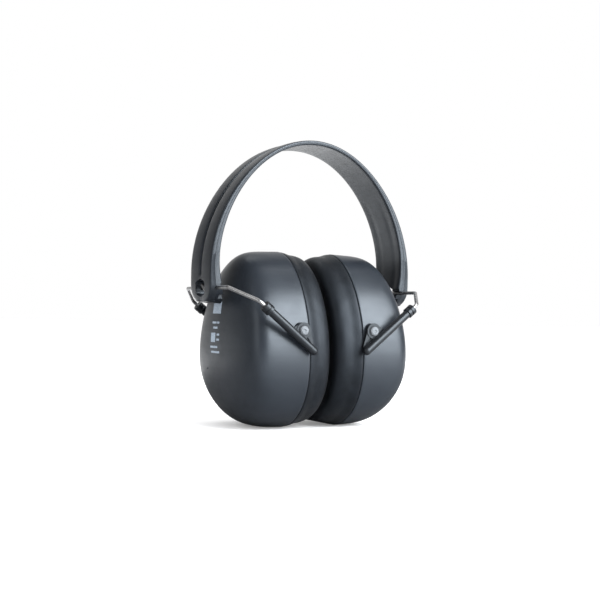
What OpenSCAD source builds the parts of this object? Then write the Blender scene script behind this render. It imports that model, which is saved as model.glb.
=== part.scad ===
// Hearing protection earmuffs. A plastic headband arch holds a bent steel yoke wire in each end.
// The legs of each wire slide in two plastic sliders, which pivot on rivets at the front and back of a cup.
// Origin: bottom centre. X runs across the head, front is -Y, Z is up. Left is -X.

/* [Cups] */
// Height of a cup at its rim
cup_h = 105; // [98:1:112]
// Width of a cup at its rim, front to back
cup_w = 87.6; // [84:0.4:92]
// Depth of a cup shell from its rim to its outermost point
cup_depth = 38; // [34:1:44]
// Height of the widest level of a cup
widest_z = 43.4; // [40:0.2:48]
// Wall thickness of a cup shell
cup_wall = 2.3; // [1.8:0.1:3]

/* [Cushions] */
// Thickness of one ear cushion, from its cup's rim to the middle of the object
cushion_t = 17.7; // [15:0.1:20]
// Width of the cushion ring between its outer edge and the ear opening
cushion_ring_w = 21; // [18:1:24]
// Thickness of the cushion's skin
skin_t = 0.8; // [0.6:0.1:1.2]

/* [Headband] */
// Height of the headband's inner face at the top
arch_h = 169.4; // [160:0.2:185]
// Space between a cup's outermost point and the inner face, at the widest level
band_clear = 6.15; // [3:0.05:11]
// Width of the headband, front to back
band_w = 29.2; // [26:0.2:34]
// Thickness of the headband at the top
band_top_t = 2.8; // [2.2:0.1:4]
// Thickness of the headband where its ends begin
band_side_t = 5.9; // [4.8:0.1:6.8]
// Width of the groove down the middle of the outer face
groove_w = 3.2; // [2:0.2:6]

/* [Yoke wires] */
// Diameter of the steel wire
wire_d = 2.3; // [1.8:0.1:2.6]
// Distance of each yoke axis outside the cup's outermost point
yoke_clear = 7.45; // [5:0.05:10]
// Height of the yoke axes
yoke_z = 81.8; // [80:0.2:84]
// Angle of the wire's legs and the sliders below horizontal
leg_angle = 38.5; // [36:0.5:41]

/* [Sliders] */
// Length of a slider tube
tube_len = 43; // [38:1:46]
// Outer diameter of a slider tube
tube_d = 4.9; // [4.2:0.1:5.4]
// Diameter of the round boss that the rivet goes through
boss_d = 9.2; // [8:0.2:10]
// Diameter of a rivet's head
rivet_head_d = 5.2; // [4.4:0.2:6]

/* [Hidden] */
$fn = 64;

fit = 0.05;              // radial running clearance of the wire and the rivets
gap = 0.35;              // space between the two cushions' middle plane and each cushion
seam = 0.3;              // open line between a cup's rim and its rim plate
rim_x = cushion_t + gap; // plane of the cup's rim
yoke_x = rim_x + cup_depth + yoke_clear;
arch_w = 2 * (rim_x + cup_depth + band_clear);
sides = 56;              // points round a cup
black = [0.11, 0.115, 0.125];

// Egg-shaped outline of a cup, inset by d: blunt below the widest level, long above it
top_power = 1.86;
bottom_power = 2.3;
function sgn_pow(v, p) = sign(v) * pow(abs(v), p);
function egg(a, ky, kt, kb, d) = let(
    up = sin(a) >= 0,
    p = up ? top_power : bottom_power,
    h = up ? (cup_h - widest_z - d) * kt : (widest_z + foot - d) * kb)
    [(cup_w / 2 - d) * ky * sgn_pow(cos(a), 2 / p), widest_z + h * sgn_pow(sin(a), 2 / p)];

// Half width, top and bottom of the dome shrink with depth f, from 0 at the rim to 1 at the peak
foot = 0.5;              // how far the resting flat cuts into the bottom of the egg
draft = 0.02;            // inward lean of the walls
side_power = 11;         // how long the front and rear walls stay straight before they turn in
crown_power = 6;
base_power = 3.8;
function dome(f, p) = (1 - draft * f) * sqrt(max(1 - pow(f, p), 0));
function dome_ring(f, d, x) = [for (i = [0:sides - 1])
    let(e = egg(360 * i / sides, dome(f, side_power), dome(f, crown_power), dome(f, base_power), d))
    [x, e[0], max(e[1], d)]];

// Closed solid from a list of rings of equal length: each ring turns anticlockwise as seen from the next
function band_faces(n, rows, close) = [for (r = [0:rows - (close ? 1 : 2)], i = [0:n - 1])
    let(a = r * n, b = ((r + 1) % rows) * n, j = (i + 1) % n) each
    [[a + j, a + i, b + j], [b + j, a + i, b + i]]];
module loft(rings) {
    n = len(rings[0]);
    last = (len(rings) - 1) * n;
    polyhedron(
        points = [for (r = rings) each r],
        faces = concat(
            band_faces(n, len(rings), false),
            [[for (i = [0:n - 1]) i]],
            [[for (i = [n - 1:-1:0]) last + i]]),
        convexity = 6);
}
module torus_loft(rings) {
    polyhedron(
        points = [for (r = rings) each r],
        faces = band_faces(len(rings[0]), len(rings), true),
        convexity = 6);
}

// Solid dome from the rim to the peak, inset by d, starting at plane x0
steps = 13;
module dome_solid(d, x0) {
    depth = cup_depth - d;
    rings = [for (s = [0:steps - 1]) let(f = 1 - pow(1 - s / steps, 2.3)) dome_ring(f, d, rim_x + f * depth)];
    flat_end = [for (p = rings[steps - 1]) [rim_x + depth, 0.1 * p[1], widest_z + 0.1 * (p[2] - widest_z)]];
    start = [for (p = rings[0]) [x0, p[1], p[2]]];
    loft(concat(x0 < rim_x ? [start] : [], rings, [flat_end]));
}

// Rivets and sliders, all drawn on the right side and front, then mirrored
tube_clear = 0.65;                                       // space between the cup's rim and the tubes
leg_y = cup_w / 2 + tube_clear + tube_d / 2;             // distance of the wire's legs from the middle
rivet_in = 5.4;                                          // distance of the rivets from the rim's plane
rivet_x = rim_x + rivet_in;
rivet_z = 58.3;
pad_sink = 0.2;
pad_y = cup_w / 2 - pad_sink;                            // face of the shell's pivot pad
plate_y = pad_y + fit;                                   // inner face of a slider's web
web_t = 1.9;
washer_t = 0.3;
rivet_d = 3;
pad_d = boss_d - 0.2;
pad_t = 5.4;
tail_y = pad_y - pad_t;                                  // inner face of the shell's pad
head_y = plate_y + web_t + washer_t;                     // underside of the rivet's head
axis_offset = 5.5;                                       // distance from the rivet to the tube's axis
below_rivet = 14;                                        // tube length below the rivet
down = [-cos(leg_angle), 0, -sin(leg_angle)];            // direction of the legs, inward and down
across = [sin(leg_angle), 0, -cos(leg_angle)];
tube_foot = [rivet_x, -leg_y, rivet_z] + axis_offset * across + below_rivet * down;
tube_mouth = tube_foot - tube_len * down;
bend_out = 3.6;                                          // straight wire between the slider and the bend
bend = tube_mouth - bend_out * down;
corner_out = 14.6;                                       // distance of the wire's corner from the headband
corner = [yoke_x, -band_w / 2 - corner_out, yoke_z];

module left_side() { mirror([1, 0, 0]) children(); }
module rear() { mirror([0, 1, 0]) children(); }
// Turns +Z onto the legs' direction
module along_leg(p) { translate(p) rotate([0, 270 - leg_angle, 0]) children(); }
// Turns +Z onto the front, -Y
module facing_front(p) { translate(p) rotate([90, 0, 0]) children(); }

module rod(a, b, d) {
    v = b - a;
    len = norm(v);
    translate(a) rotate([0, acos(v[2] / len), atan2(v[1], v[0])]) cylinder(d = d, h = len);
}
module wire(points, d) {
    for (i = [0:len(points) - 2]) rod(points[i], points[i + 1], d);
    for (i = [1:len(points) - 2]) translate(points[i]) sphere(d = 1.03 * d, $fn = 40);
}

// Headband: rings of the cross-section along a pair of cubic curves, from one end over the top to the other
outer_top_z = arch_h + band_top_t;
outer_side_x = arch_w / 2 + band_side_t;
inner_side_z = 98;
outer_side_z = 92;
end_in = [yoke_x - 5.6, 0, yoke_z - 8.4];
end_out = [yoke_x + 3.8, 0, yoke_z - 7.2];
end_round = 11;          // rounding of the ends as seen from the side
edge = 0.9;              // bevel along the four edges
function cubic(p, t) = pow(1 - t, 3) * p[0] + 3 * pow(1 - t, 2) * t * p[1]
    + 3 * (1 - t) * t * t * p[2] + pow(t, 3) * p[3];
inner_upper = [[0, 0, arch_h], [0.6 * arch_w / 2, 0, arch_h],
    [arch_w / 2, 0, inner_side_z + 0.43 * (arch_h - inner_side_z)], [arch_w / 2, 0, inner_side_z]];
inner_lower = [[arch_w / 2, 0, inner_side_z], [arch_w / 2, 0, inner_side_z - 9],
    [arch_w / 2 - 2.5, 0, yoke_z], end_in];
outer_upper = [[0, 0, outer_top_z], [0.53 * outer_side_x, 0, outer_top_z],
    [outer_side_x, 0, outer_side_z + 0.5 * (outer_top_z - outer_side_z)], [outer_side_x, 0, outer_side_z]];
outer_lower = [[outer_side_x, 0, outer_side_z], [outer_side_x, 0, outer_side_z - 6],
    [outer_side_x + 0.2, 0, yoke_z + 1], end_out];
upper_steps = 24;
lower_steps = 12;
// Station k from 0 at the top to upper_steps + lower_steps at the end: [inner point, outer point]
function station(k) = k <= upper_steps
    ? [cubic(inner_upper, k / upper_steps), cubic(outer_upper, k / upper_steps)]
    : let(t = (k - upper_steps) / lower_steps) [cubic(inner_lower, t), cubic(outer_lower, t)];
// Half width at a height: full above the rounding, then along a circle to the end
function half_width(z) = let(low = end_in[2] - 0.5, over = max(low + end_round - z, 0))
    band_w / 2 - end_round + sqrt(max(end_round * end_round - over * over, 0));
function band_ring(s) = let(
    inner = s[0],
    outer = s[1],
    t = norm(outer - inner),
    n = (outer - inner) / t,
    w = half_width((inner[2] + outer[2]) / 2),
    b = min(edge, t / 3),
    at = function (y, v) [inner[0] + n[0] * v, y, inner[2] + n[2] * v])
    [at(-w + b, 0), at(w - b, 0), at(w, b), at(w, t - b), at(w - b, t), at(w / 2, t + 0.25), at(0, t),
        at(-w / 2, t + 0.25), at(-w + b, t), at(-w, t - b), at(-w, b)];
function flip(p) = [-p[0], p[1], p[2]];
last_station = upper_steps + lower_steps;
function arch_rings() = concat(
    [for (k = [last_station:-1:1]) [for (p = band_ring(station(k))) flip(p)]],
    [for (k = [0:last_station]) band_ring(station(k))]);

// Cutter for the groove: a ring that follows the outer face, 1 mm deep, down to just above the pockets
groove_end = upper_steps + 2;
module groove_cut() {
    outline = [for (k = [0:groove_end]) let(s = station(k)) s];
    deep = [for (s = outline) let(n = (s[1] - s[0]) / norm(s[1] - s[0])) s[1] - min(1, band_top_t * 0.35) * n];
    high = [for (s = outline) let(n = (s[1] - s[0]) / norm(s[1] - s[0])) s[1] + 2 * n];
    m = groove_end;
    right = concat([for (i = [0:m]) [deep[i][0], deep[i][2]]], [for (i = [m:-1:0]) [high[i][0], high[i][2]]]);
    for (flip_x = [0, 1])
        mirror([flip_x, 0, 0])
            rotate([90, 0, 0])
                linear_extrude(groove_w, center = true) polygon(right);
}
// Six-sided pocket right through the band's end, where the wire's crank turns
pocket_w = 13;
pocket_h = 10.8;
pocket_side_h = 7;
cut_reach = 12;          // how far the cuts reach to each side of the yoke axis
module pocket_cut() {
    translate([yoke_x - cut_reach, 0, yoke_z]) rotate([90, 0, 90])
        linear_extrude(2 * cut_reach) polygon([
            [-pocket_w / 2, -pocket_side_h / 2], [0, -pocket_h / 2], [pocket_w / 2, -pocket_side_h / 2],
            [pocket_w / 2, pocket_side_h / 2], [0, pocket_h / 2], [-pocket_w / 2, pocket_side_h / 2]]);
}
// Bore along the yoke axis with a slot to the inner face, where the wire snaps in
slot_h = wire_d - 0.2;
slot_mouth_h = slot_h + 1.7;
mouth_out = 2;           // the slot is taller up to this far from the yoke axis
bore_d = wire_d + 2 * fit;
module wire_seat_cut() {
    through = band_w + 2;
    translate([yoke_x, 0, yoke_z]) rotate([90, 0, 0]) cylinder(d = bore_d, h = through, center = true);
    translate([yoke_x - cut_reach, -through / 2, yoke_z - slot_h / 2]) {
        cube([cut_reach, through, slot_h]);
        cube([cut_reach - mouth_out, through, slot_mouth_h]);
    }
}
// Shallow notches in the narrow sides below the wire
notch = [3.6, 5, 2.4];
notch_below = 5;
notch_depth = 4.5;
module side_notch_cut() {
    for (side = [-1, 1])
        translate([yoke_x - notch[0], side * (band_w / 2 - notch_depth + notch[1] / 2), yoke_z - notch_below])
            cube(notch, center = true);
}
module band_end_cuts() {
    pocket_cut();
    wire_seat_cut();
    side_notch_cut();
}
module headband() {
    color(black) difference() {
        loft(arch_rings());
        groove_cut();
        band_end_cuts();
        left_side() band_end_cuts();
    }
}

// Yoke wire: leg, corner, seat, crank, seat, corner, leg
seat_in = 5;             // inner end of each seat
crank_x = 1.8;
crank_y = 3.4;
crank_z = 2.4;
leg_in = 36;             // length of leg inside a slider at rest
module yoke_wire() {
    leg_end = tube_mouth + leg_in * down;
    front = [leg_end, bend, corner, [yoke_x, -seat_in, yoke_z]];
    crank = [for (side = [-1, 1]) [yoke_x + crank_x, side * crank_y, yoke_z + side * crank_z]];
    rear_half = [for (i = [3:-1:0]) [front[i][0], -front[i][1], front[i][2]]];
    color([0.72, 0.73, 0.75]) wire(concat(front, crank, rear_half), wire_d);
}

// Slider: blind tube for the wire's leg, a thicker mouth with a ring groove, and a web with the rivet's boss
mouth_len = 5.4;
mouth_d = tube_d + 1.4;
bore_depth = leg_in + 1.5;
ring_z = 2.4;            // ring groove round the mouth
ring_w = 0.8;
ring_depth = 0.4;
recess_depth = 0.7;
boss_step = 0.4;         // how far the boss stands out from the web
rivet_bore_d = rivet_d + 2 * fit;
module slider() {
    color(black) difference() {
        union() {
            along_leg(tube_mouth) tube_outside();
            web();
        }
        along_leg(tube_mouth - down) cylinder(d = bore_d, h = bore_depth + 1);
        facing_front([rivet_x, -plate_y + 1, rivet_z]) cylinder(d = rivet_bore_d, h = web_t + 2);
    }
}
// Half outline of the tube, turned round its axis from the mouth at 0 to the rounded end
module tube_outside() {
    r = tube_d / 2;
    rotate_extrude() union() {
        polygon([[0, 0], [mouth_d / 2 - 0.3, 0], [mouth_d / 2, 0.3], [mouth_d / 2, ring_z],
            [mouth_d / 2 - ring_depth, ring_z], [mouth_d / 2 - ring_depth, ring_z + ring_w],
            [mouth_d / 2, ring_z + ring_w], [mouth_d / 2, mouth_len - 0.4], [r, mouth_len],
            [r, tube_len - r], [0, tube_len - r]]);
        translate([0, tube_len - r]) intersection() {
            circle(r);
            square(r);
        }
    }
}
// Web: from the boss down to the tube's closed end, cut off short above the boss, with a shallow recess.
// Its outline is drawn along the tube: the rivet at 0, the mouth towards +X, the tube's axis at -axis_offset
module web() {
    tube_top = -axis_offset + tube_d / 2;
    in_boss = 0.45 * boss_d;
    facing_front([rivet_x, -plate_y, rivet_z]) cylinder(d = boss_d, h = web_t);
    difference() {
        facing_front([rivet_x, -plate_y, rivet_z]) rotate([0, 0, leg_angle])
            linear_extrude(web_t - boss_step) polygon([
                [-below_rivet + 2, -axis_offset], [-below_rivet + 2.6, tube_top + 0.2],
                [in_boss * cos(132), in_boss * sin(132)], [in_boss * cos(24), in_boss * sin(24)],
                [boss_d / 2 + 1.2, tube_top + 0.9], [boss_d / 2 + 1.6, -axis_offset]]);
        facing_front([rivet_x, -plate_y - web_t + boss_step + recess_depth, rivet_z]) rotate([0, 0, leg_angle])
            linear_extrude(2 * web_t) polygon([[-boss_d / 2 - 0.1, -1.4], [-below_rivet + 4.6, tube_top + 0.3],
                [-boss_d / 2 + 1.2, tube_top + 0.3]]);
    }
}

// Rivet: domed head, shank through the slider's boss and the shell's pad, spread tail inside the cup
head_h = 1.1;
tail_h = 1;
tail_d = rivet_d + 2;
module rivet() {
    color([0.55, 0.57, 0.6]) {
        facing_front([rivet_x, -tail_y + tail_h, rivet_z]) {
            cylinder(d = rivet_d, h = tail_h + head_y - tail_y + 0.2);
            cylinder(d = tail_d, h = tail_h);
        }
        facing_front([rivet_x, -head_y, rivet_z]) rivet_head();
    }
}
module rivet_head() {
    rotate_extrude() polygon([[0, 0], [rivet_head_d / 2, 0], [rivet_head_d / 2, head_h * 0.45],
        [rivet_head_d / 2 - 0.6, head_h * 0.85], [0.9, head_h], [0.5, head_h * 0.6], [0, head_h * 0.6]]);
}
washer_d = rivet_head_d + 1.2;
module washer() {
    color([0.05, 0.05, 0.055]) facing_front([rivet_x, -head_y + washer_t, rivet_z]) difference() {
        cylinder(d = washer_d, h = washer_t);
        translate([0, 0, -1]) cylinder(d = rivet_bore_d, h = washer_t + 2);
    }
}

// Cup shell: a drafted wall and a dome, hollow, with a pad and a bore for each rivet and a resting flat
module cup_shell() {
    color([0.16, 0.17, 0.19]) difference() {
        union() {
            difference() {
                dome_solid(0, rim_x);
                dome_solid(cup_wall, rim_x - 1);
            }
            pivot_pad();
            rear() pivot_pad();
        }
        pivot_bore();
        rear() pivot_bore();
        gate_mark();
    }
}
// Small sunk moulding mark on the outer face, below and behind the middle
mark_place = [rim_x + cup_depth - 2.2, 16, 34];
module gate_mark() {
    translate(mark_place) rotate([0, 90, 0]) cylinder(d = 1.5, h = 6, $fn = 24);
}
module pivot_pad() {
    facing_front([rivet_x, -tail_y, rivet_z]) cylinder(d = pad_d, h = pad_t);
}
module pivot_bore() {
    facing_front([rivet_x, -tail_y + 2, rivet_z]) cylinder(d = rivet_d, h = pad_t + 4);
}

// Ring with the egg's outline: a closed section of [inset, x] points swept round
function egg_ring(section) = [for (i = [0:sides - 1]) [for (s = section)
    let(e = egg(360 * i / sides, 1, 1, 1, s[0])) [s[1], e[0], max(e[1], s[0])]]];

// Rim plate: the cushion's hard backing, with a lip that snaps into the cup, notched round the pivot pads
plate_t = 1.8;
plate_inset = 0.5;
lip_h = 4;
lip_t = 1.6;
pad_clear = 0.4;         // space between the lip's notches and the pivot pads
plate_hole = cushion_ring_w - 2;
module rim_plate() {
    face = rim_x - seam;
    lean = draft * (cup_h - widest_z) * lip_h / (cup_depth - cup_wall);    // of the cup's wall along the lip
    lip_out = cup_wall + fit + lean;
    color(black) difference() {
        torus_loft(egg_ring([[plate_inset, face - plate_t], [plate_hole, face - plate_t],
            [plate_hole, face], [lip_out + lip_t, face], [lip_out + lip_t, face + lip_h],
            [lip_out, face + lip_h], [lip_out, face], [plate_inset, face]]));
        facing_front([rivet_x, cup_w, rivet_z]) cylinder(d = pad_d + 2 * pad_clear, h = 2 * cup_w);
    }
}

// Cushion: a skin over a foam ring, bulging to the middle of the object, open at the back on the plate
back_x = rim_x - seam - plate_t - fit;
cushion_inset = 0.3;
cushion_power = 0.62;    // 1 is an ellipse, 0 a box
arc_steps = 10;
function cushion_arc(d) = let(
    w = cushion_ring_w - cushion_inset - 2 * d,
    h = back_x - gap - d)
    [for (k = [0:arc_steps]) let(
        a = 180 * k / arc_steps,
        c = cushion_inset + d + w / 2)
        [c - (w / 2) * sgn_pow(cos(a), cushion_power), back_x - h * sgn_pow(sin(a), cushion_power)]];
module cushion_skin() {
    outer = cushion_arc(0);
    inner = cushion_arc(skin_t);
    color([0.07, 0.07, 0.075])
        torus_loft(egg_ring(concat(outer, [for (k = [arc_steps:-1:0]) inner[k]])));
}
module cushion_foam() {
    color([0.3, 0.3, 0.32]) torus_loft(egg_ring(cushion_arc(skin_t + 0.1)));
}

// Sound foam: the damping pad that fills the back of the cup
foam_front = 10.5;       // depth of its face behind the rim
foam_gap = 0.5;
module sound_foam() {
    color([0.2, 0.2, 0.21]) intersection() {
        dome_solid(cup_wall + foam_gap, rim_x);
        translate([rim_x + foam_front, -cup_w, -cup_h]) cube([cup_depth, 2 * cup_w, 3 * cup_h]);
    }
}

headband();
left_side() yoke_wire();  // left_yoke_wire
left_side() slider();  // left_front_slider
left_side() rear() slider();  // left_rear_slider
left_side() cup_shell();  // left_cup_shell
left_side() rim_plate();  // left_rim_plate
left_side() cushion_skin();  // left_cushion_skin
left_side() cushion_foam();  // left_cushion_foam
left_side() sound_foam();  // left_sound_foam
left_side() rivet();  // left_front_rivet
left_side() rear() rivet();  // left_rear_rivet
left_side() washer();  // left_front_washer
left_side() rear() washer();  // left_rear_washer
yoke_wire();  // right_yoke_wire
slider();  // right_front_slider
rear() slider();  // right_rear_slider
cup_shell();  // right_cup_shell
rim_plate();  // right_rim_plate
cushion_skin();  // right_cushion_skin
cushion_foam();  // right_cushion_foam
sound_foam();  // right_sound_foam
rivet();  // right_front_rivet
rear() rivet();  // right_rear_rivet
washer();  // right_front_washer
rear() washer();  // right_rear_washer
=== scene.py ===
"""Looks of the earmuffs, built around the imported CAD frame. Lengths are millimetres until MM is applied."""

import math

import bmesh
import bpy
import numpy as np
from mathutils import Matrix, Vector, noise


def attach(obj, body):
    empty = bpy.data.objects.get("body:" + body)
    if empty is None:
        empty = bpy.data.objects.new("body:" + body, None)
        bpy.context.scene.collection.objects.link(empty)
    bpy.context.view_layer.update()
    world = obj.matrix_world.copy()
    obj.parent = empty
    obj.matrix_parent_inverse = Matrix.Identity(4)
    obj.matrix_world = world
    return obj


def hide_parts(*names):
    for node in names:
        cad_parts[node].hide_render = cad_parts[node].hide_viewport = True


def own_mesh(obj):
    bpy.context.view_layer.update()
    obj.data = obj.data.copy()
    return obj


MM = 0.001
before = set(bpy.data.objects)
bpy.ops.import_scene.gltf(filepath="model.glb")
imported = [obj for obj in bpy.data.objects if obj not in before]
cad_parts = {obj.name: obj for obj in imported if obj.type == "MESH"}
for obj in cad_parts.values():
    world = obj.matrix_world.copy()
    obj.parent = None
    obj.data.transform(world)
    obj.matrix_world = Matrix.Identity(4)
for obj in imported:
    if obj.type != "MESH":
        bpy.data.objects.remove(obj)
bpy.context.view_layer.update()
scene = bpy.context.scene

# ---------------------------------------------------------------- camera
CAM_AZIMUTH = math.radians(-28.615)
CAM_ELEVATION = math.radians(-0.76)
CAM_ROLL = math.radians(1.053)
CAM_PLACE = Vector((-0.3107, -0.5665, 0.0676))
CAM_LENS = 63.2


def from_above(azimuth, elevation):
    """Unit vector from the object towards that azimuth and elevation, in radians."""
    flat = math.cos(elevation)
    return Vector((math.sin(azimuth) * flat, -math.cos(azimuth) * flat, math.sin(elevation)))


def add_camera():
    back = from_above(CAM_AZIMUTH, CAM_ELEVATION)
    right = Vector((math.cos(CAM_AZIMUTH), math.sin(CAM_AZIMUTH), 0))
    up = back.cross(right)
    x = math.cos(CAM_ROLL) * right + math.sin(CAM_ROLL) * up
    y = math.cos(CAM_ROLL) * up - math.sin(CAM_ROLL) * right
    data = bpy.data.cameras.new("camera")
    data.lens, data.sensor_width = CAM_LENS, 36
    data.clip_start, data.clip_end = 0.01, 50
    camera = bpy.data.objects.new("camera", data)
    camera.matrix_world = Matrix.Translation(CAM_PLACE) @ Matrix((x, y, back)).transposed().to_4x4()
    scene.collection.objects.link(camera)
    scene.camera = camera


add_camera()

# ---------------------------------------------------------------- sizes, as in the CAD source
FIT = 0.05
CUP_H, CUP_W, CUP_DEPTH, WIDEST_Z, CUP_WALL = 105, 87.6, 38, 43.4, 2.3
CUSHION_T, RING_W, GAP, SEAM = 17.7, 21, 0.35, 0.3
RIM_X = CUSHION_T + GAP
FOOT, DRAFT = 0.5, 0.02
TOP_POWER, BOTTOM_POWER = 1.86, 2.3
SIDE_POWER, CROWN_POWER, BASE_POWER = 11, 6, 3.8
YOKE_CLEAR, BAND_CLEAR = 7.45, 6.15
YOKE_X = RIM_X + CUP_DEPTH + YOKE_CLEAR
ARCH_W = 2 * (RIM_X + CUP_DEPTH + BAND_CLEAR)
ARCH_H, BAND_W, BAND_TOP_T, BAND_SIDE_T, GROOVE_W = 169.4, 29.2, 2.8, 5.9, 3.2
WIRE_D, YOKE_Z, LEG_ANGLE = 2.3, 81.8, math.radians(38.5)
TUBE_LEN, TUBE_D, BELOW_RIVET, AXIS_OFFSET = 43, 4.9, 14, 5.5
TUBE_CLEAR, LEG_IN, BEND_OUT, CORNER_OUT, SEAT_IN = 0.65, 36, 3.6, 14.6, 5
CRANK_X, CRANK_Y, CRANK_Z = 1.8, 3.4, 2.4
RIVET_IN, RIVET_Z = 5.4, 58.3
RIVET_X = RIM_X + RIVET_IN
PAD_SINK, PAD_T, PAD_D, BORE_D = 0.2, 5.4, 9, 3
PAD_Y = CUP_W / 2 - PAD_SINK
PLATE_T, PLATE_INSET, LIP_H, LIP_T, PAD_CLEAR = 1.8, 0.5, 4, 1.6, 0.4
FACE_X = RIM_X - SEAM
BACK_X = FACE_X - PLATE_T - FIT
FOAM_FRONT, FOAM_GAP = 10.5, 0.5


# ---------------------------------------------------------------- mesh helpers
def finish_mesh(bm, mesh, sharp):
    bmesh.ops.remove_doubles(bm, verts=bm.verts, dist=1e-7)
    bmesh.ops.recalc_face_normals(bm, faces=bm.faces)
    bm.to_mesh(mesh)
    bm.free()
    mesh.shade_smooth()
    mesh.set_sharp_from_angle(angle=math.radians(sharp))


def new_object(name, points, faces, sharp=40):
    mesh = bpy.data.meshes.new(name)
    mesh.from_pydata((np.asarray(points, float) * MM).tolist(), [], faces)
    bm = bmesh.new()
    bm.from_mesh(mesh)
    finish_mesh(bm, mesh, sharp)
    made = bpy.data.objects.new(name, mesh)
    scene.collection.objects.link(made)
    return made


def grid_faces(rows, n, close_rows=False, first=0):
    """Quads between rows of n points that close on themselves, and from last row to first if asked."""
    return [
        (first + r * n + i, first + r * n + (i + 1) % n,
         first + (r + 1) % rows * n + (i + 1) % n, first + (r + 1) % rows * n + i)
        for r in range(rows if close_rows else rows - 1)
        for i in range(n)
    ]


def lofted(name, rings, caps=True, sharp=40):
    """Closed solid through rings of equal length. A ring of one repeated point becomes a pole."""
    n, rows = len(rings[0]), len(rings)
    faces = grid_faces(rows, n)
    if caps:
        faces += [tuple(range(n - 1, -1, -1)), tuple(range((rows - 1) * n, rows * n))]
    return new_object(name, np.concatenate(rings), faces, sharp)


def ring_lofted(name, rings, sharp=40):
    """Closed ring-shaped solid: the last ring joins the first."""
    return new_object(name, np.concatenate(rings), grid_faces(len(rings), len(rings[0]), True), sharp)


def mirrored(source, name):
    """Copy of a right piece for the left side."""
    mesh = source.data.copy()
    mesh.name = name
    mesh.transform(Matrix.Scale(-1, 4, (1, 0, 0)))
    mesh.flip_normals()
    made = bpy.data.objects.new(name, mesh)
    scene.collection.objects.link(made)
    return made


def evaluated(piece):
    """Puts the piece's modifiers into its mesh."""
    graph = bpy.context.evaluated_depsgraph_get()
    graph.update()
    mesh = bpy.data.meshes.new_from_object(piece.evaluated_get(graph))
    piece.modifiers.clear()
    piece.data = mesh


def combined(piece, cutters, operation="DIFFERENCE", sharp=40):
    for cutter in cutters:
        modifier = piece.modifiers.new("cut", "BOOLEAN")
        modifier.operation, modifier.solver, modifier.object = operation, "EXACT", cutter
        evaluated(piece)
        bpy.data.objects.remove(cutter)
    piece.data.shade_smooth()
    piece.data.set_sharp_from_angle(angle=math.radians(sharp))
    return piece


def prism(name, outline, x0, x1):
    """Straight solid along X over an outline of (y, z) points."""
    return lofted(name, [[(x, y, z) for y, z in outline] for x in (x0, x1)])


def drum(centre, along, radius, start, end, sides=48):
    """Straight round solid round the line from centre in direction along, between two distances."""
    turn = Vector(along).to_track_quat("Z", "Y")
    return lofted("drum", [
        [Vector(centre) + turn @ Vector((radius * math.cos(a), radius * math.sin(a), h))
         for a in np.arange(sides) * 2 * math.pi / sides]
        for h in (start, end)
    ])


def block(low, high):
    outline = [(low[1], low[2]), (high[1], low[2]), (high[1], high[2]), (low[1], high[2])]
    return prism("block", outline, low[0], high[0])


def both_sides(right, right_body, nodes, material):
    """Makes the left copy of a right piece, and says what each rides on, replaces and is made of."""
    left = mirrored(right, right.name.replace("right", "left"))
    for piece, side in ((right, "right"), (left, "left")):
        own_nodes = [n.replace("right", side) for n in nodes]
        place(piece, right_body.replace("right", side), own_nodes, material)
    return right, left


def place(piece, body, nodes, material):
    piece.data.materials.clear()
    piece.data.materials.append(material)
    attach(piece, body)
    if nodes:
        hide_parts(*nodes)


# ---------------------------------------------------------------- the cup's egg outline and dome
def signed_power(v, p):
    return np.sign(v) * np.abs(v) ** p


def egg(angle, inset=0.0, ky=1.0, kt=1.0, kb=1.0):
    """(y, z) on the cup's outline, with half width, top and bottom scaled."""
    up = np.sin(angle) >= 0
    p = np.where(up, TOP_POWER, BOTTOM_POWER)
    h = np.where(up, (CUP_H - WIDEST_Z - inset) * kt, (WIDEST_Z + FOOT - inset) * kb)
    y = (CUP_W / 2 - inset) * ky * signed_power(np.cos(angle), 2 / p)
    z = WIDEST_Z + h * signed_power(np.sin(angle), 2 / p)
    return y, np.maximum(z, inset)


def around(n):
    return np.arange(n) * 2 * math.pi / n


def dome(f, p):
    return (1 - DRAFT * f) * math.sqrt(max(1 - f**p, 0))


def dome_ring(f, inset, x, n):
    y, z = egg(around(n), inset, dome(f, SIDE_POWER), dome(f, CROWN_POWER), dome(f, BASE_POWER))
    return np.column_stack([np.full(n, x), y, z])


def dome_x(y, z):
    """X of the dome's outer surface at a height and a distance from the middle."""
    low, high = 0.0, 1.0
    up = z >= WIDEST_Z
    p = TOP_POWER if up else BOTTOM_POWER
    reach = CUP_H - WIDEST_Z if up else WIDEST_Z + FOOT
    for _ in range(40):
        f = (low + high) / 2
        wide = max(CUP_W / 2 * dome(f, SIDE_POWER), 1e-6)
        tall = max(reach * dome(f, CROWN_POWER if up else BASE_POWER), 1e-6)
        inside = abs(y / wide) ** p + abs((z - WIDEST_Z) / tall) ** p < 1
        low, high = (f, high) if inside else (low, f)
    return RIM_X + low * CUP_DEPTH


# ---------------------------------------------------------------- materials
def material(name, **values):
    made = bpy.data.materials.new(name)
    made.use_nodes = True
    shader = made.node_tree.nodes["Principled BSDF"]
    for socket, value in values.items():
        shader.inputs[socket.replace("_", " ")].default_value = value
    return made


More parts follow.
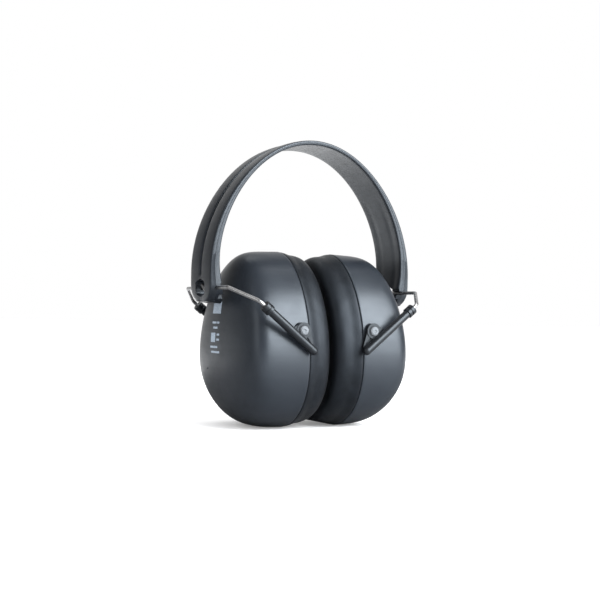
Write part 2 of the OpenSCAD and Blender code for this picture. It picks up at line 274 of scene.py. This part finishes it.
class Nodes:
    """Short way to write a material's node tree over the object's own coordinates."""

    def __init__(self, made):
        self.tree = made.node_tree
        self.shader = self.tree.nodes["Principled BSDF"]
        self.place = self.add("ShaderNodeTexCoord").outputs["Object"]

    def add(self, kind, links=(), **values):
        made = self.tree.nodes.new(kind)
        for name, value in values.items():
            if name in made.inputs:
                made.inputs[name].default_value = value
            else:
                setattr(made, name, value)
        for socket, source in dict(links).items():
            self.tree.links.new(source, made.inputs[socket])
        return made

    def stretched(self, scale):
        return self.add("ShaderNodeMapping", {"Vector": self.place}, Scale=scale).outputs["Vector"]

    def noise(self, scale, detail=3.0, roughness=0.55, vector=None):
        return self.add("ShaderNodeTexNoise", {"Vector": vector or self.place},
                        Scale=scale, Detail=detail, Roughness=roughness).outputs["Fac"]

    def cells(self, scale, feature="F1", vector=None):
        return self.add("ShaderNodeTexVoronoi", {"Vector": vector or self.place}, feature=feature,
                        Scale=scale).outputs["Distance"]

    def spread(self, source, low, high, to_low, to_high):
        made = self.add("ShaderNodeMapRange", {"Value": source})
        for socket, value in zip(("From Min", "From Max", "To Min", "To Max"), (low, high, to_low, to_high)):
            made.inputs[socket].default_value = value
        return made.outputs["Result"]

    def mix(self, factor, a, b):
        made = self.add("ShaderNodeMix", {"Factor": factor}, data_type="RGBA")
        for socket, value in ((made.inputs[6], a), (made.inputs[7], b)):
            if isinstance(value, tuple):
                socket.default_value = (*value, 1)
            else:
                self.tree.links.new(value, socket)
        return made.outputs[2]

    def maths(self, operation, a, b=0.0):
        made = self.add("ShaderNodeMath", operation=operation)
        for socket, value in zip(made.inputs, (a, b)):
            if isinstance(value, (int, float)):
                socket.default_value = value
            else:
                self.tree.links.new(value, socket)
        return made.outputs[0]

    def bumps(self, layers, rounding=0.0):
        """Stacks (height, distance in mm, strength) layers, over edges rounded by a radius in mm."""
        normal = None
        if rounding:
            normal = self.add("ShaderNodeBevel", samples=4, Radius=rounding * MM).outputs["Normal"]
        for height, distance, strength in layers:
            made = self.add("ShaderNodeBump", {"Height": height}, Strength=strength, Distance=distance * MM)
            if normal is not None:
                self.tree.links.new(normal, made.inputs["Normal"])
            normal = made.outputs["Normal"]
        self.tree.links.new(normal, self.shader.inputs["Normal"])

    def use(self, **sockets):
        for name, source in sockets.items():
            self.tree.links.new(source, self.shader.inputs[name.replace("_", " ")])


def moulded_plastic(name, dark, light, rough, grain=0.012, grain_scale=2600, rounding=0.25, streak=0.0):
    """Injection-moulded plastic: fine spark-eroded grain, faint flow streaks, rubbed edges and dust."""
    made = material(name, IOR=1.48, Specular_Tint=(0.84, 0.92, 1.0, 1))
    n = Nodes(made)
    cloud = n.noise(45, 4)
    fine = n.noise(grain_scale, 2, 0.6)
    flow = n.noise(30, 3, 0.5, n.stretched((1, 1, 14)))
    worn = n.spread(n.add("ShaderNodeNewGeometry").outputs["Pointiness"], 0.62, 0.8, 0, 1)
    body = n.mix(n.spread(cloud, 0.35, 0.65, 0, 1), dark, light)
    rubbed = tuple(min(1.0, c * 2.2) for c in light)
    rubbing = n.maths("MULTIPLY", worn, n.spread(n.noise(300), 0.4, 0.6, 0.1, 0.8))
    n.use(Base_Color=n.mix(rubbing, body, rubbed))
    uneven = n.maths("ADD", n.spread(n.noise(120, 5, 0.65), 0.3, 0.7, rough - 0.035, rough + 0.045),
                     n.spread(flow, 0.3, 0.7, -streak, streak))
    n.use(Roughness=uneven)
    n.bumps([(cloud, 0.05, 0.15), (fine, grain, 0.6)], rounding)
    return made


def spring_steel():
    made = material("spring_steel", Metallic=1.0)
    n = Nodes(made)
    lines = n.noise(900, 3, 0.6, n.stretched((1, 0.12, 1)))
    spots = n.noise(420, 4, 0.6)
    n.use(Base_Color=n.mix(n.spread(spots, 0.45, 0.75, 0, 1), (0.43, 0.43, 0.435), (0.3, 0.295, 0.29)))
    n.use(Roughness=n.spread(lines, 0.3, 0.7, 0.24, 0.36))
    n.bumps([(lines, 0.004, 0.25)])
    return made


def rivet_metal():
    made = material("rivet_metal", Metallic=0.25, Specular_IOR_Level=0.3)
    n = Nodes(made)
    marks = n.noise(1500, 4, 0.65)
    n.use(Base_Color=n.mix(n.spread(marks, 0.35, 0.7, 0, 1), (0.17, 0.185, 0.2), (0.12, 0.13, 0.145)))
    n.use(Roughness=n.spread(marks, 0.3, 0.7, 0.6, 0.75))
    n.bumps([(marks, 0.02, 0.4)], 0.15)
    return made


def leatherette():
    """The cushions' film: fine embossed grain with creases, a soft sheen and rubbed high points."""
    made = material("cushion_skin", IOR=1.46, Sheen_Weight=0.02, Sheen_Roughness=0.5, Specular_IOR_Level=0.3,
                    Specular_Tint=(0.78, 0.88, 1.0, 1))
    n = Nodes(made)
    warp = n.add("ShaderNodeVectorMath", {0: n.place}, operation="ADD")
    swirl = n.add("ShaderNodeTexNoise", {"Vector": n.place}, Scale=500, Detail=2)
    small = n.add("ShaderNodeVectorMath", {0: swirl.outputs["Color"]}, operation="SCALE", Scale=0.0006)
    n.tree.links.new(small.outputs[0], warp.inputs[1])
    grain = n.cells(1300, "DISTANCE_TO_EDGE", warp.outputs[0])
    pores = n.cells(2600, "F1", warp.outputs[0])
    creases = n.noise(140, 5, 0.6)
    body = n.mix(n.spread(creases, 0.35, 0.7, 0, 1), (0.0024, 0.003, 0.0042), (0.0046, 0.0058, 0.008))
    n.use(Base_Color=body)
    n.use(Roughness=n.spread(n.maths("ADD", grain, creases), 0.4, 1.0, 0.4, 0.52))
    n.bumps([(creases, 0.25, 0.25), (n.spread(grain, 0, 0.12, 0, 1), 0.05, 0.4), (pores, 0.02, 0.3)])
    return made


def open_cell_foam():
    made = material("sound_foam", Roughness=0.95, Sheen_Weight=0.1)
    n = Nodes(made)
    cells = n.cells(850, "F1")
    patches = n.noise(90, 4)
    # pit_shade is 0 at the middle of each cell, where the bump makes a pit, and there the colour goes near
    # black: painted shade in the foam's pores.
    pit_shade = n.spread(cells, 0.1, 0.7, 0, 1)
    skin = n.mix(patches, (0.045, 0.046, 0.05), (0.07, 0.071, 0.075))
    n.use(Base_Color=n.mix(pit_shade, (0.012, 0.012, 0.013), skin))
    n.bumps([(cells, 0.6, 0.8), (patches, 0.8, 0.3)])
    return made


def print_ink():
    made = material("print_ink")
    n = Nodes(made)
    worn = n.noise(1400, 4, 0.7)
    n.use(Base_Color=n.mix(n.spread(worn, 0.4, 0.62, 0, 1), (0.3, 0.36, 0.43), (0.17, 0.21, 0.26)))
    n.use(Roughness=n.spread(worn, 0.3, 0.7, 0.4, 0.6))
    n.bumps([(worn, 0.01, 0.5)])
    return made


BAND = moulded_plastic("band_plastic", (0.007, 0.0085, 0.0115), (0.01, 0.012, 0.0155), 0.35,
                       grain=0.006, grain_scale=3000, streak=0.02)
SLIDER = moulded_plastic("slider_plastic", (0.003, 0.0034, 0.0044), (0.005, 0.0057, 0.007), 0.32, grain=0.004)
CUP = moulded_plastic("cup_plastic", (0.011, 0.0135, 0.018), (0.0145, 0.0175, 0.0225), 0.35,
                      grain=0.006, grain_scale=3000, streak=0.02)
PLATE = moulded_plastic("plate_plastic", (0.01, 0.0105, 0.012), (0.014, 0.0145, 0.016), 0.45)
WASHER = moulded_plastic("washer_plastic", (0.006, 0.006, 0.007), (0.01, 0.01, 0.011), 0.55, rounding=0.1)
STEEL = spring_steel()
RIVET = rivet_metal()
SKIN = leatherette()
FOAM = open_cell_foam()
INK = print_ink()


# ---------------------------------------------------------------- cup shells
MARK_Y, MARK_Z, MARK_R, MARK_DEPTH = 16, 34, 0.75, 2.2


def cup_shell():
    n, rows = 176, 46
    rim_round = [(0.5, 0.0), (0.16, 0.14), (0.0, 0.5)]
    depths = [1 - (1 - s / rows) ** 2.3 for s in range(rows + 1)]
    outer = [dome_ring(0, d, RIM_X + dx, n) for d, dx in rim_round]
    outer += [dome_ring(f, 0, RIM_X + f * CUP_DEPTH, n) for f in depths if f * CUP_DEPTH > 0.6]
    deep = CUP_DEPTH - CUP_WALL
    inner = [dome_ring(f, CUP_WALL, RIM_X + f * deep, n) for f in depths]
    shell = lofted("right_shell", [*reversed(outer), *inner], caps=False)
    rivet, peak = (RIVET_X, 0, RIVET_Z), RIM_X + CUP_DEPTH
    pads = [drum(rivet, (0, side, 0), PAD_D / 2, PAD_Y - PAD_T, PAD_Y) for side in (-1, 1)]
    combined(shell, pads, "UNION")
    bores = [drum(rivet, (0, side, 0), BORE_D / 2, PAD_Y - 10, PAD_Y + 5) for side in (-1, 1)]
    mark = drum((0, MARK_Y, MARK_Z), (1, 0, 0), MARK_R, peak - MARK_DEPTH, peak + 5, 24)
    return combined(shell, [*bores, mark])


both_sides(cup_shell(), "right_cup", ["right_cup_shell"], CUP)


# ---------------------------------------------------------------- rim plates
def egg_rings(section, n):
    """Rings of (inset, x) section points, one for each angle round the outline."""
    rings = []
    for a in around(n):
        ring = []
        for inset, x in section:
            y, z = egg(np.array([a]), inset)
            ring.append((x, float(y[0]), float(z[0])))
        rings.append(ring)
    return rings


def rim_plate():
    lean = DRAFT * (CUP_H - WIDEST_Z) * LIP_H / (CUP_DEPTH - CUP_WALL)
    hole, lip = RING_W - 2, CUP_WALL + FIT + lean
    back = FACE_X - PLATE_T
    r = 0.3
    lip_in, end = lip + LIP_T, FACE_X + LIP_H
    section = [(PLATE_INSET, back + r), (PLATE_INSET + r, back), (hole - r, back), (hole, back + r),
               (hole, FACE_X - r), (hole - r, FACE_X), (lip_in, FACE_X), (lip_in, end - r),
               (lip_in - r, end), (lip + r, end), (lip, end - r),
               (lip, FACE_X), (PLATE_INSET + r, FACE_X), (PLATE_INSET, FACE_X - r)]
    plate = ring_lofted("right_plate", egg_rings(section, 144))
    notch = drum((RIVET_X, 0, RIVET_Z), (0, 1, 0), PAD_D / 2 + PAD_CLEAR, -CUP_W, CUP_W)
    return combined(plate, [notch])


both_sides(rim_plate(), "right_cup", ["right_rim_plate"], PLATE)


# ---------------------------------------------------------------- ear cushions
CUSHION_INSET = 0.25
CUSHION_ROUND = 0.62     # 1 is an ellipse, 0 a box
ARC, BACK = 30, 8        # points over the cushion and across its flat back
LAP_X = FACE_X - 0.1     # the film laps over the plate's edge to here
START_IN = 1.3           # how far inside its final skin the cushion starts
MOST_MOVE = 2.2          # how far a point may move in the simulation
FRAMES = 20


def cushion_section(inset):
    w = RING_W - CUSHION_INSET - 2 * inset
    h = BACK_X - GAP - inset
    c = CUSHION_INSET + inset + w / 2
    arc = [(c - w / 2 * float(signed_power(math.cos(a), CUSHION_ROUND)),
            BACK_X - h * float(signed_power(math.sin(a), CUSHION_ROUND)))
           for a in np.linspace(0, math.pi, ARC + 1)]
    back = [(c + w / 2 * (1 - 2 * k / BACK), BACK_X) for k in range(1, BACK)]
    skirt = [(PLATE_INSET + 0.1, BACK_X), (PLATE_INSET + 0.06, LAP_X), (0.3, LAP_X), (0.22, LAP_X - 0.3)]
    return arc + back + skirt


def inflate(piece, held):
    """Lets pressure fill the cushion's film. held are the points stuck to the plate."""
    group = piece.vertex_groups.new(name="held")
    group.add(held, 1.0, "REPLACE")
    cloth = piece.modifiers.new("fill", "CLOTH")
    s = cloth.settings
    s.quality, s.mass, s.air_damping = 6, 0.2, 4
    s.tension_stiffness = s.compression_stiffness = s.shear_stiffness = 22
    s.bending_stiffness = 0.6
    s.use_pressure, s.uniform_pressure_force = True, 4
    s.vertex_group_mass = "held"
    s.effector_weights.gravity = 0
    cloth.point_cache.frame_start, cloth.point_cache.frame_end = 1, FRAMES
    start = np.array([v.co for v in piece.data.vertices])
    for step in range(1, FRAMES + 1):
        scene.frame_set(step)
    graph = bpy.context.evaluated_depsgraph_get()
    mesh = piece.evaluated_get(graph).to_mesh()
    end = np.array([v.co for v in mesh.vertices])
    piece.evaluated_get(graph).to_mesh_clear()
    piece.modifiers.clear()
    piece.vertex_groups.clear()
    scene.frame_set(1)
    return start, end


def capped(move, most):
    length = np.linalg.norm(move, axis=1, keepdims=True)
    return move * np.minimum(1, most / np.maximum(length, 1e-12))


def ear_cushion():
    n = 132
    final = np.array(egg_rings(cushion_section(0), n))
    begin = np.array(egg_rings(cushion_section(START_IN), n))
    begin[:, ARC + 1:] = final[:, ARC + 1:]
    begin[:, [0, ARC]] = final[:, [0, ARC]]
    piece = ring_lofted("right_cushion", begin.tolist())
    per = len(cushion_section(0))
    held = [r * per + i for r in range(n) for i in [0, *range(ARC, per)]]
    start, end = inflate(piece, held)
    target = start + capped(end - start, MOST_MOVE * MM)
    points = target.reshape(n, per, 3)
    # fine gathers where the film is drawn over the inner and outer edge of the plate
    for r in range(n):
        for i in range(1, ARC):
            near = math.exp(-(min(i, ARC - i) / 3.2) ** 2)
            wave = noise.noise(Vector((r * 0.55, 3.0 if i > ARC / 2 else 0.0, 0.2 * i)))
            outward = points[r, i] - points[r].mean(axis=0)
            points[r, i] += outward / np.linalg.norm(outward) * wave * 0.35 * MM * near
    points[:, :, 0] = np.maximum(points[:, :, 0], 0.15 * MM)
    piece.data.vertices.foreach_set("co", points.reshape(-1).astype(np.float32))
    piece.data.update()
    soften = piece.modifiers.new("soften", "SUBSURF")
    soften.levels = soften.render_levels = 1
    evaluated(piece)
    piece.data.shade_smooth()
    return piece


stood_for = ["right_cushion_skin", "right_cushion_foam"]
cushions = both_sides(ear_cushion(), "right_cup", stood_for, SKIN)
for cushion, side, k in zip(cushions, ("right", "left"), (1, -1)):
    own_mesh(cushion)


# ---------------------------------------------------------------- damping foam inside the cups
def damping_foam():
    n, front_x, inset = 120, RIM_X + FOAM_FRONT, CUP_WALL + FOAM_GAP
    depth = CUP_DEPTH - inset
    first = FOAM_FRONT / depth
    rings = []
    edge = dome_ring(first, inset, front_x, n)
    centre = np.array([front_x, 0, WIDEST_Z + 4])
    for k in range(15):
        share = k / 14
        ring = centre + (edge - centre) * share * 0.985
        ring[:, 0] = front_x + 1.6 * max(share - 0.82, 0) ** 2 * 30 - 0.8 * (1 - share**4)
        for p in ring:
            p[0] += 0.5 * noise.noise(Vector((p[1] * 0.12, p[2] * 0.12, 0.5))) * (1 - share**6)
        rings.append(ring)
    for s in range(1, 22):
        f = first + (1 - first) * (1 - (1 - s / 21) ** 2.2)
        rings.append(dome_ring(f, inset, RIM_X + f * depth, n))
    return lofted("right_damping_foam", rings, caps=False)


for pad in both_sides(damping_foam(), "right_cup", ["right_sound_foam"], FOAM):
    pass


# ---------------------------------------------------------------- headband
OUTER_TOP_Z, OUTER_SIDE_X = ARCH_H + BAND_TOP_T, ARCH_W / 2 + BAND_SIDE_T
INNER_SIDE_Z, OUTER_SIDE_Z, END_ROUND, EDGE = 98, 92, 11, 0.9
END_IN, END_OUT = (YOKE_X - 5.6, YOKE_Z - 8.4), (YOKE_X + 3.8, YOKE_Z - 7.2)
INNER_CURVES = (
    ((0, ARCH_H), (0.3 * ARCH_W, ARCH_H), (ARCH_W / 2, INNER_SIDE_Z + 0.43 * (ARCH_H - INNER_SIDE_Z)),
     (ARCH_W / 2, INNER_SIDE_Z)),
    ((ARCH_W / 2, INNER_SIDE_Z), (ARCH_W / 2, INNER_SIDE_Z - 9), (ARCH_W / 2 - 2.5, YOKE_Z), END_IN),
)
OUTER_CURVES = (
    ((0, OUTER_TOP_Z), (0.53 * OUTER_SIDE_X, OUTER_TOP_Z),
     (OUTER_SIDE_X, OUTER_SIDE_Z + 0.5 * (OUTER_TOP_Z - OUTER_SIDE_Z)), (OUTER_SIDE_X, OUTER_SIDE_Z)),
    ((OUTER_SIDE_X, OUTER_SIDE_Z), (OUTER_SIDE_X, OUTER_SIDE_Z - 6),
     (OUTER_SIDE_X + 0.2, YOKE_Z + 1), END_OUT),
)


def cubic(p, t):
    p = np.asarray(p, float)
    return (1 - t) ** 3 * p[0] + 3 * (1 - t) ** 2 * t * p[1] + 3 * (1 - t) * t * t * p[2] + t**3 * p[3]


def half_width(z):
    over = max(END_IN[1] - 0.5 + END_ROUND - z, 0)
    return BAND_W / 2 - END_ROUND + math.sqrt(max(END_ROUND**2 - over * over, 0))


def band_section(inner, outer, groove, channel):
    """(y, v) points round the band: v is 0 on the inner face and t on the outer one."""
    t = float(np.linalg.norm(outer - inner))
    w = half_width((inner[1] + outer[1]) / 2)
    b = min(EDGE, t / 3)
    g = GROOVE_W / 2
    inside = [(y, channel * 0.3 * math.exp(-((abs(y) - 0.55 * w) / 2) ** 2))
              for y in np.linspace(-w + b, w - b, 19)]
    corner = [(w - b + b * math.sin(a), b - b * math.cos(a)) for a in np.radians((30, 60, 90))]
    side = [(w, 0.44 * t), (w + 0.1, 0.47 * t), (w + 0.1, 0.53 * t), (w, 0.56 * t)]
    shoulder = [(w - b + b * math.cos(a), t - b + b * math.sin(a)) for a in np.radians((0, 30, 60, 90))]
    strip = [(y, t + 0.28 * math.sin(math.pi * (y - g) / (w - b - g)) ** 0.8)
             for y in np.linspace(w - b, g, 9)[1:-1]]
    deep = [(g + 0.15, 0), (g - 0.05, -0.12), (g - 0.3, -0.9), (g - 0.5, -1), (g * 0.3, -1)]
    trench = [(y, t + v * groove) for y, v in deep]
    right = corner + side + shoulder + strip + trench
    return inside + right + [(-y, v) for y, v in reversed(right)]


def band_rings():
    """Rings from the top of the arch to one end."""
    rings = []
    steps = [(0, t) for t in np.linspace(0, 1, 80, endpoint=False)]
    steps += [(1, 1 - (1 - t) ** 1.5) for t in np.linspace(0, 1, 46)]
    for part, t in steps:
        inner, outer = cubic(INNER_CURVES[part], t), cubic(OUTER_CURVES[part], t)
        along = part + t
        groove = float(np.clip((1.2 - along) / 0.06, 0, 1)) * min(1, 0.35 * BAND_TOP_T)
        channel = float(np.clip((along - 0.55) / 0.2, 0, 1))
        out = (outer - inner) / np.linalg.norm(outer - inner)
        rings.append([(inner[0] + out[0] * v, y, inner[1] + out[1] * v)
                      for y, v in band_section(inner, outer, groove, channel)])
    # rounded end
    last, before = np.array(rings[-1]), np.array(rings[-2])
    ahead = (last - before).mean(axis=0)
    ahead /= np.linalg.norm(ahead)
    centre = last.mean(axis=0)
    for a in np.radians((25, 50, 72, 90)):
        inward = centre - last
        length = np.linalg.norm(inward, axis=1, keepdims=True)
        shrink = inward / length * np.minimum(1.3 * (1 - math.cos(a)), length * 0.5)
        rings.append((last + shrink + ahead * 1.3 * math.sin(a) * 0.6).tolist())
    return rings


def rounded_outline(corners, radius, steps=4):
    """A polygon with its corners rounded."""
    made, n = [], len(corners)
    for k in range(n):
        p = Vector(corners[k])
        a, b = Vector(corners[k - 1]) - p, Vector(corners[(k + 1) % n]) - p
        a, b = p + a.normalized() * radius, p + b.normalized() * radius
        for s in range(steps + 1):
            t = s / steps
            made.append(tuple((1 - t) ** 2 * a + 2 * (1 - t) * t * p + t * t * b))
    return made


POCKET_W, POCKET_H, POCKET_SIDE_H, SLOT_MOUTH_H = 13, 10.8, 7, 3.8
CUT_REACH, MOUTH_OUT = 12, 2


def headband():
    half = band_rings()
    flipped = [[(-x, y, z) for x, y, z in ring] for ring in half[:0:-1]]
    band = lofted("headband_arch", flipped + half)
    hexagon = rounded_outline([
        (-POCKET_W / 2, YOKE_Z - POCKET_SIDE_H / 2), (0, YOKE_Z - POCKET_H / 2),
        (POCKET_W / 2, YOKE_Z - POCKET_SIDE_H / 2), (POCKET_W / 2, YOKE_Z + POCKET_SIDE_H / 2),
        (0, YOKE_Z + POCKET_H / 2), (-POCKET_W / 2, YOKE_Z + POCKET_SIDE_H / 2)], 1.2)
    cutters = []
    for k in (-1, 1):
        cutters.append(prism("pocket", hexagon, k * (YOKE_X - CUT_REACH), k * (YOKE_X + CUT_REACH)))
        cutters.append(drum((k * YOKE_X, 0, YOKE_Z), (0, 1, 0), WIRE_D / 2 + FIT, -BAND_W, BAND_W, 32))
        slot_low, slot_high = YOKE_Z - WIRE_D / 2 + 0.1, YOKE_Z + WIRE_D / 2 - 0.1
        xs = sorted((k * (YOKE_X - CUT_REACH), k * YOKE_X))
        cutters.append(block((xs[0], -BAND_W, slot_low), (xs[1], BAND_W, slot_high)))
        xs = sorted((k * (YOKE_X - CUT_REACH), k * (YOKE_X - MOUTH_OUT)))
        cutters.append(block((xs[0], -BAND_W, slot_low + 0.02), (xs[1], BAND_W, slot_low + SLOT_MOUTH_H)))
        for side in (-1, 1):
            ys = sorted((side * (BAND_W / 2 - 4.5), side * (BAND_W / 2 + 0.5)))
            xs = sorted((k * (YOKE_X - 5.4), k * (YOKE_X - 1.8)))
            cutters.append(block((xs[0], ys[0], YOKE_Z - 6.2), (xs[1], ys[1], YOKE_Z - 3.8)))
    return combined(band, cutters, sharp=32)


place(headband(), "headband", ["headband"], BAND)


# ---------------------------------------------------------------- yoke wires
def bent(points, radii, step=0.3):
    """Points along a polyline whose corners are arcs of the given radii."""
    points = [Vector(p) for p in points]
    path = [points[0]]
    for before, corner, after, r in zip(points, points[1:], points[2:], radii):
        u, v = (before - corner).normalized(), (after - corner).normalized()
        turn = math.pi - u.angle(v)
        back = r * math.tan(turn / 2)
        start, end = corner + u * back, corner + v * back
        centre = corner + (u + v).normalized() * (r / math.cos(turn / 2))
        count = max(4, math.ceil(r * turn / step))
        a, b = start - centre, end - centre
        for k in range(count + 1):
            t = k / count
            arm = (a * math.sin((1 - t) * turn) + b * math.sin(t * turn)) / math.sin(turn)
            path.append(centre + arm)
    path.append(points[-1])
    return path


def swept(name, path, radius, sides=20):
    """Round rod along a path, its cross-section carried along without twisting, with bevelled ends."""
    rings = []
    ahead = (path[1] - path[0]).normalized()
    side = ahead.orthogonal().normalized()
    for k, p in enumerate(path):
        tangent = (path[min(k + 1, len(path) - 1)] - path[max(k - 1, 0)]).normalized()
        side = ahead.rotation_difference(tangent) @ side
        ahead = tangent
        other = ahead.cross(side)
        shape = [(radius, 0.0)]
        if k == 0:
            shape = [(radius * 0.7, -0.3), (radius, 0.0)]
        if k == len(path) - 1:
            shape = [(radius, 0.0), (radius * 0.7, 0.3)]
        for r, shift in shape:
            rings.append([p + ahead * shift + side * r * math.cos(a) + other * r * math.sin(a)
                          for a in around(sides)])
    return lofted(name, rings, sharp=50)


def yoke_wire():
    leg_y = CUP_W / 2 + TUBE_CLEAR + TUBE_D / 2
    down = Vector((-math.cos(LEG_ANGLE), 0, -math.sin(LEG_ANGLE)))
    across = Vector((math.sin(LEG_ANGLE), 0, -math.cos(LEG_ANGLE)))
    foot = Vector((RIVET_X, -leg_y, RIVET_Z)) + AXIS_OFFSET * across + BELOW_RIVET * down
    mouth = foot - TUBE_LEN * down
    front = [mouth + LEG_IN * down, mouth - BEND_OUT * down,
             Vector((YOKE_X, -BAND_W / 2 - CORNER_OUT, YOKE_Z)), Vector((YOKE_X, -SEAT_IN, YOKE_Z))]
    crank = [Vector((YOKE_X + CRANK_X, side * CRANK_Y, YOKE_Z + side * CRANK_Z)) for side in (-1, 1)]
    rear = [Vector((p.x, -p.y, p.z)) for p in reversed(front)]
    points = front + crank + rear
    return swept("right_yoke", bent(points, (4.5, 2.6, 1.3, 1.6, 1.6, 1.3, 2.6, 4.5)), WIRE_D / 2)


both_sides(yoke_wire(), "right_yoke", ["right_yoke_wire"], STEEL)


# ---------------------------------------------------------------- plain print marks on the left cup
def print_marks():
    """Short plain bars, a plain block and a plain square, as thin raised ink that follows the dome."""
    marks = [(-1, 11, 67, 74), (4, 10, 61, 62.2), (0, 3, 61, 62.2), (2, 8.5, 58, 59.2),
             (4.5, 11, 50, 55.6), (-1, 2.5, 51, 52.2), (-1, 2.5, 54, 55.2),
             (1, 11.5, 46.6, 47.8), (-2, 10, 43.6, 44.8)]
    points, faces = [], []
    for y0, y1, z0, z1 in marks:
        columns, rows = max(3, round((y1 - y0) / 1.2)), max(2, round((z1 - z0) / 1.2))
        first, layer = len(points), (columns + 1) * (rows + 1)
        for lift in (0.06, -0.05):
            for r in range(rows + 1):
                for c in range(columns + 1):
                    y, z = y0 + (y1 - y0) * c / columns, z0 + (z1 - z0) * r / rows
                    points.append((-dome_x(y, z) - lift, y, z))

        def at(c, r, side):
            return first + side * layer + r * (columns + 1) + c

        for r in range(rows):
            for c in range(columns):
                quad = ((c, r), (c + 1, r), (c + 1, r + 1), (c, r + 1))
                faces.append([at(*q, 0) for q in quad])
                faces.append([at(*q, 1) for q in reversed(quad)])
        border = [(c, 0) for c in range(columns)] + [(columns, r) for r in range(rows)]
        border += [(c, rows) for c in range(columns, 0, -1)] + [(0, r) for r in range(rows, 0, -1)]
        for a, b in zip(border, border[1:] + border[:1]):
            faces.append([at(*a, 0), at(*a, 1), at(*b, 1), at(*b, 0)])
    return new_object("left_print_marks", points, faces)


place(print_marks(), "left_cup", [], INK)

# ---------------------------------------------------------------- carried-over CAD parts
FINISHES = {"slider": SLIDER, "rivet": RIVET, "washer": WASHER}
for name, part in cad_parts.items():
    finish = FINISHES.get(name.split("_")[-1])
    if finish:
        part.data.materials.clear()
        part.data.materials.append(finish)


# ---------------------------------------------------------------- floor, light and surroundings
def add_floor():
    """Pale floor. In glossy reflections it is brightest behind the object and darkest to its left."""
    size = 6000
    corners = [(-size, -size, 0), (size, -size, 0), (size, size, 0), (-size, size, 0)]
    floor = new_object("floor", corners, [(0, 1, 2, 3)])
    pale = material("floor", Roughness=0.8, Specular_IOR_Level=0.1, Emission_Color=(1, 1, 1, 1))
    n = Nodes(pale)
    ray = n.add("ShaderNodeLightPath")
    shade = n.mix(n.noise(3, 3), (0.87, 0.87, 0.875), (0.9, 0.9, 0.905))
    levels = []
    behind, in_front = -from_above(CAM_AZIMUTH, 0), from_above(0.3, 0)
    for towards, near, far, share in ((behind, 0.12, 0.24, 1), (in_front, 0.04, 0.14, 0.4)):
        along = n.add("ShaderNodeVectorMath", {0: n.place}, operation="DOT_PRODUCT")
        along.inputs[1].default_value = towards
        levels.append(n.spread(along.outputs["Value"], near, far, 0, share))
    mirrored_shade = n.mix(n.maths("MAXIMUM", *levels), (0.2, 0.2, 0.205), (0.95, 0.95, 0.955))
    n.use(Base_Color=n.mix(ray.outputs["Is Glossy Ray"], shade, mirrored_shade))
    n.use(Emission_Strength=n.maths("MULTIPLY", ray.outputs["Is Camera Ray"], 0.22))
    floor.data.materials.append(pale)
    floor.location.z = -0.0002


def add_light(name, azimuth, elevation, distance, width, height, power, colour=(1, 1, 1)):
    """Rectangular light in metres and watts, turned to the middle of the object."""
    data = bpy.data.lights.new(name, "AREA")
    data.shape, data.size, data.size_y, data.energy, data.color = "RECTANGLE", width, height, power, colour
    light = bpy.data.objects.new(name, data)
    towards = from_above(math.radians(azimuth), math.radians(elevation))
    light.location = Vector((0, 0, 0.07)) + towards * distance
    light.rotation_mode = "QUATERNION"
    light.rotation_quaternion = towards.to_track_quat("Z", "Y")
    scene.collection.objects.link(light)


def add_world():
    """Pale surroundings: bright behind the object, dim elsewhere, white where the camera looks past it."""
    world = bpy.data.worlds.new("studio")
    world.use_nodes = True
    tree = world.node_tree
    sky = tree.nodes["Background"]
    direction = tree.nodes.new("ShaderNodeTexCoord")
    toward = tree.nodes.new("ShaderNodeVectorMath")
    toward.operation = "DOT_PRODUCT"
    toward.inputs[1].default_value = -from_above(CAM_AZIMUTH, 0)
    ramp = tree.nodes.new("ShaderNodeMapRange")
    ramp.interpolation_type = "SMOOTHSTEP"
    for socket, value in zip(("From Min", "From Max", "To Min", "To Max"), (0.55, 0.95, 0.22, 1.0)):
        ramp.inputs[socket].default_value = value
    seen = tree.nodes.new("ShaderNodeLightPath")
    others = tree.nodes.new("ShaderNodeMath")
    others.operation = "SUBTRACT"
    others.inputs[0].default_value = 1
    level = tree.nodes.new("ShaderNodeMath")
    level.operation = "MAXIMUM"
    tree.links.new(direction.outputs["Generated"], toward.inputs[0])
    tree.links.new(toward.outputs["Value"], ramp.inputs["Value"])
    tree.links.new(ramp.outputs["Result"], level.inputs[0])
    tree.links.new(seen.outputs["Is Glossy Ray"], others.inputs[1])
    tree.links.new(others.outputs[0], level.inputs[1])
    tree.links.new(level.outputs[0], sky.inputs["Strength"])
    sky.inputs["Color"].default_value = (1, 1, 1, 1)
    world.cycles.sampling_method = "NONE"
    scene.world = world


add_floor()
add_world()
add_light("key", 30, 31, 1.3, 1.1, 0.78, 40, (0.95, 0.98, 1.0))
add_light("low", 30, 6.5, 1.3, 1.1, 0.33, 10, (0.95, 0.98, 1.0))
add_light("top", 150, 72, 1.3, 1.2, 0.6, 6)
add_light("left", -72, 22, 1.6, 0.9, 1.3, 5)
scene.view_settings.view_transform = "Standard"
